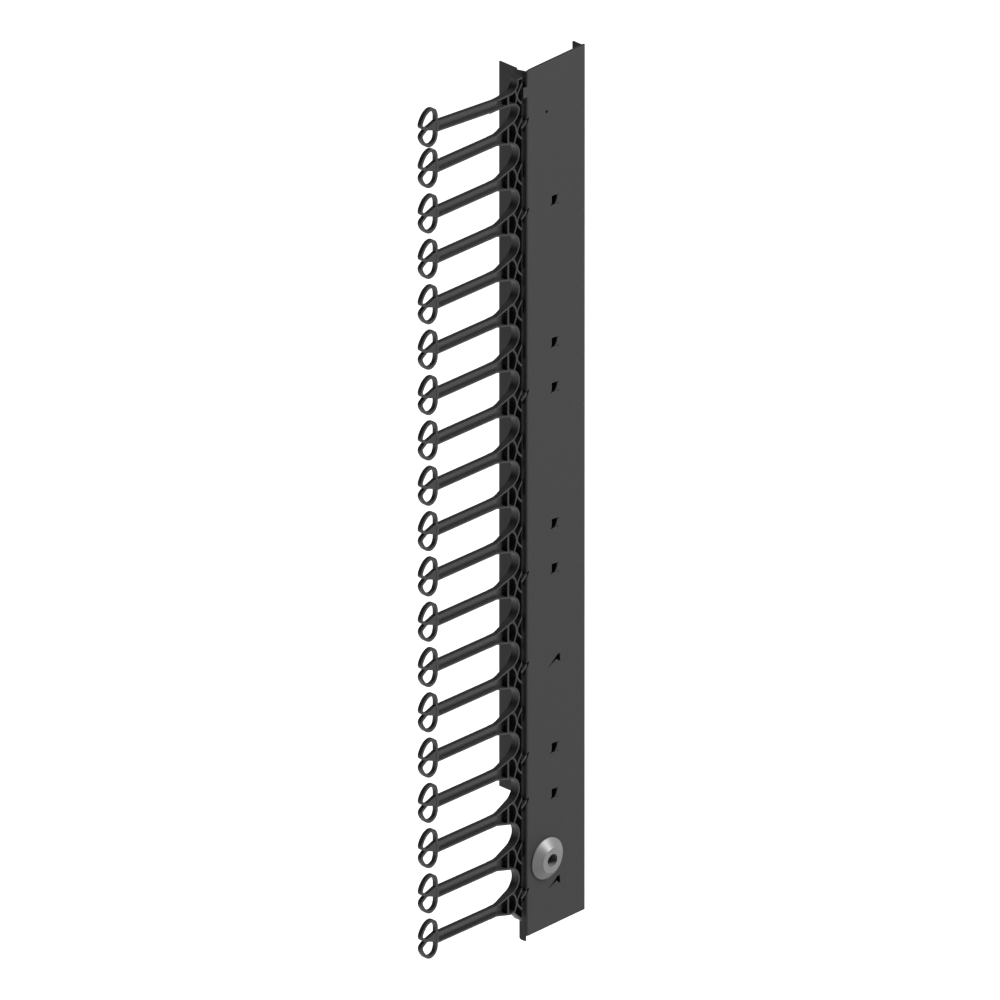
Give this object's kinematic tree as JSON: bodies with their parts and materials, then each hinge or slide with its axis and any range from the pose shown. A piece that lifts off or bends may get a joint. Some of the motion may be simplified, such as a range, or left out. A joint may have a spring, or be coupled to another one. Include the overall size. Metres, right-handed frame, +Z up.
{
  "type": "vertical cable manager",
  "caption": "Tall sheet-metal vertical cable manager with a column of looped plastic cable fingers along one side, strap slots and a conical mounting boss.",
  "frame": {"origin": "centre of the four rack screws, on the rear faces of the standoffs that the rack's upright seats on", "axes": "+X across the panel from the fingers to the plain side, +Y from the face towards the rack, +Z up along the panel"},
  "size_m": [0.2103, 0.0422, 0.8612],
  "materials": {
    "powder_black": "fine-textured matt powder coat",
    "moulded_black": "satin moulded",
    "nylon_black": "matt moulded",
    "boss_grey": "satin moulded",
    "rivet_black": "satin painted",
    "zinc": "zinc plated"
  },
  "bodies": {
    "root": {"face_panel": "powder_black", "rear_bracket": "powder_black", "bracket_rivets": "rivet_black", "rack_standoffs": "zinc", "strap_anchors": "nylon_black", "side_anchors": "nylon_black", "mounting_boss": "boss_grey", "boss_retainer": "zinc", "finger_01": "moulded_black", "finger_02": "moulded_black", "finger_03": "moulded_black", "finger_04": "moulded_black", "finger_05": "moulded_black", "finger_06": "moulded_black", "finger_07": "moulded_black", "finger_08": "moulded_black", "finger_09": "moulded_black", "finger_10": "moulded_black", "finger_11": "moulded_black", "finger_12": "moulded_black", "finger_13": "moulded_black", "finger_14": "moulded_black", "finger_15": "moulded_black", "finger_16": "moulded_black", "finger_17": "moulded_black", "finger_18": "moulded_black", "finger_19": "moulded_black"}
  },
  "joints": []
}
